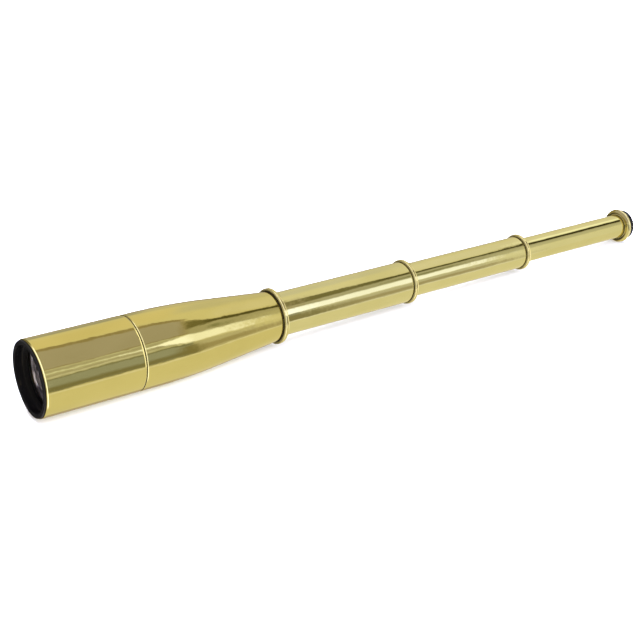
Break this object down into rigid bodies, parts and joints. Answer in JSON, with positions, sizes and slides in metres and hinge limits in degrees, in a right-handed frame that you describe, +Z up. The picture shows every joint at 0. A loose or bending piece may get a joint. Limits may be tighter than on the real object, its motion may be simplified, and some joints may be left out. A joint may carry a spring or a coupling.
{
  "type": "collapsible spyglass",
  "caption": "Hand-held brass spyglass with a tapered barrel and sliding draw tubes that nest into it, drawn out and lying down.",
  "frame": {"origin": "on the surface it lies on, under the middle of its bounding box", "axes": "+X runs from the objective end to the eyepiece end, +Z is up; the optical axis dips 1.5 degrees towards the eyepiece because it lies on its barrel's shoulder and its eyepiece ring"},
  "size_m": [0.377, 0.0358, 0.0374],
  "materials": {
    "polished_brass": "polished and lacquered",
    "black_plastic": "glossy black",
    "blackened_aluminium": "black anodised, satin",
    "coated_glass": "polished, with a faint violet coating",
    "tube_lining": "dark flocked lining"
  },
  "bodies": {
    "barrel": {"objective_sleeve": "polished_brass", "main_barrel": "polished_brass", "barrel_coupling": "polished_brass", "objective_retaining_ring": "black_plastic", "objective_cell": "blackened_aluminium", "objective_crown_lens": "coated_glass", "objective_spacer": "blackened_aluminium", "objective_flint_lens": "coated_glass", "barrel_baffle": "blackened_aluminium", "barrel_end_ring": "polished_brass"},
    "bush_1": {"draw_1_bush": "tube_lining"},
    "draw_1": {"draw_1_stop_collar": "polished_brass", "draw_tube_1": "polished_brass", "draw_1_end_ring": "polished_brass"},
    "bush_2": {"draw_2_bush": "tube_lining"},
    "draw_2": {"draw_2_stop_collar": "polished_brass", "draw_tube_2": "polished_brass", "draw_2_end_ring": "polished_brass"},
    "bush_3": {"draw_3_bush": "tube_lining"},
    "draw_3": {"draw_3_stop_collar": "polished_brass", "draw_tube_3": "polished_brass", "erector_cell": "blackened_aluminium", "erector_retaining_ring": "blackened_aluminium", "erector_front_lens": "coated_glass", "erector_spacer": "blackened_aluminium", "erector_stop": "blackened_aluminium", "erector_rear_lens": "coated_glass", "eyepiece_mount": "blackened_aluminium", "field_lens": "coated_glass", "eyepiece_front_spacer": "blackened_aluminium", "field_stop": "blackened_aluminium", "eyepiece_rear_spacer": "blackened_aluminium", "eye_lens": "coated_glass", "eye_lens_retaining_ring": "blackened_aluminium", "eyepiece_ring": "polished_brass", "eyecup": "black_plastic"}
  },
  "joints": [
    {"name": "draw_1_twist", "type": "hinge", "parent": "barrel", "child": "bush_1", "pos_m": [-0.06396, 0, 0.01625], "axis": [0.9997, 0, -0.0261], "continuous": true},
    {"name": "draw_1_slide", "type": "slide", "parent": "bush_1", "child": "draw_1", "axis": [0.9997, 0, -0.0261], "range_m": [-0.0785, 0]},
    {"name": "draw_2_twist", "type": "hinge", "parent": "draw_1", "child": "bush_2", "pos_m": [0.01802, 0, 0.01411], "axis": [0.9997, 0, -0.0261], "continuous": true},
    {"name": "draw_2_slide", "type": "slide", "parent": "bush_2", "child": "draw_2", "axis": [0.9997, 0, -0.0261], "range_m": [-0.0785, 0]},
    {"name": "draw_3_twist", "type": "hinge", "parent": "draw_2", "child": "bush_3", "pos_m": [0.09999, 0, 0.01196], "axis": [0.9997, 0, -0.0261], "continuous": true},
    {"name": "draw_3_slide", "type": "slide", "parent": "bush_3", "child": "draw_3", "axis": [0.9997, 0, -0.0261], "range_m": [-0.0785, 0]}
  ]
}
